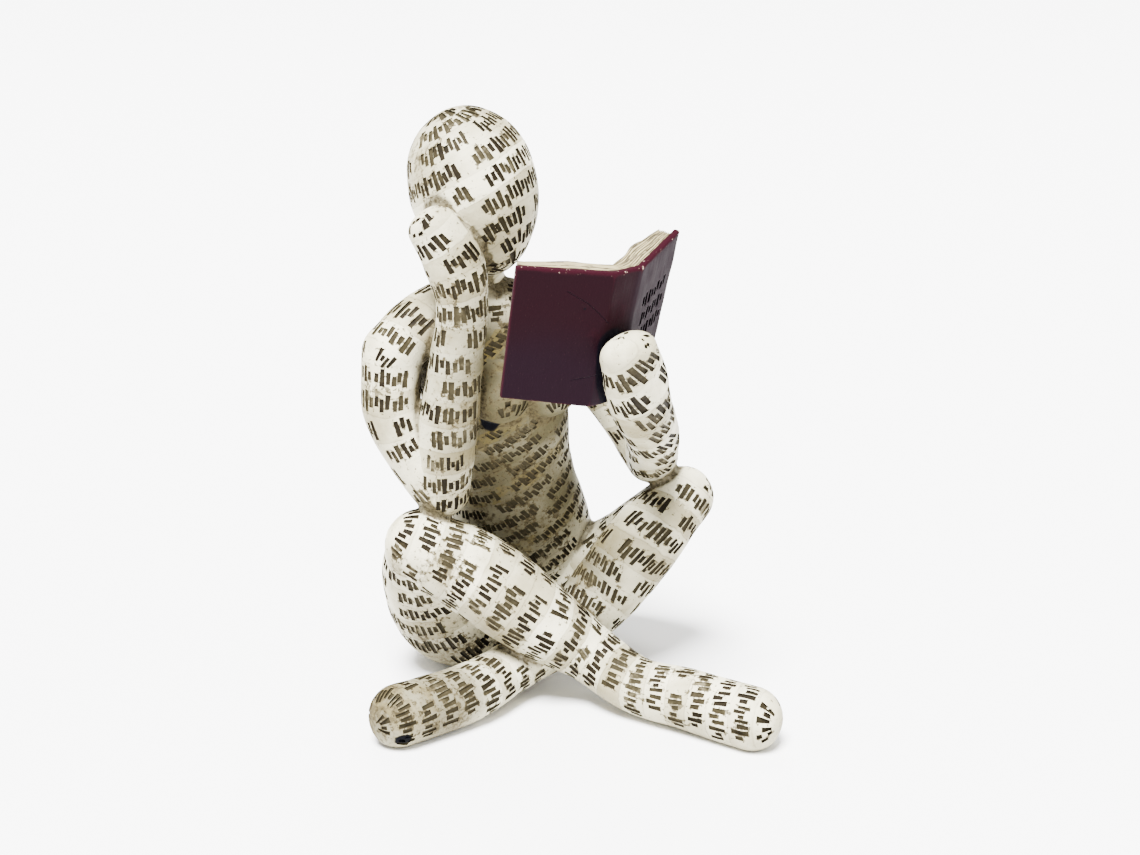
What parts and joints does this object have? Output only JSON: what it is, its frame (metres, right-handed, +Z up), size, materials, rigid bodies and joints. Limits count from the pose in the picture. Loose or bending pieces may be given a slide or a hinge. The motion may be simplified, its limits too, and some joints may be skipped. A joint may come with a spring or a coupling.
{
  "type": "seated reading figurine",
  "caption": "Cast resin figurine of a seated woman with a smooth featureless head and crossed shins, leaning her cheek on a hand and reading a small open book.",
  "frame": {"origin": "middle of the bounding box in plan, at the surface the figurine stands on", "axes": "+Z up, -Y towards the figure's front, -X towards her right side"},
  "size_m": [0.113, 0.126, 0.1677],
  "materials": {
    "ivory_resin": "satin ivory cast resin with brown stain in the shallow marks",
    "plum_paint": "satin plum paint rubbed to crimson on the edges"
  },
  "bodies": {
    "root": {"reading_figure": "ivory_resin", "open_book": "plum_paint"}
  },
  "joints": []
}
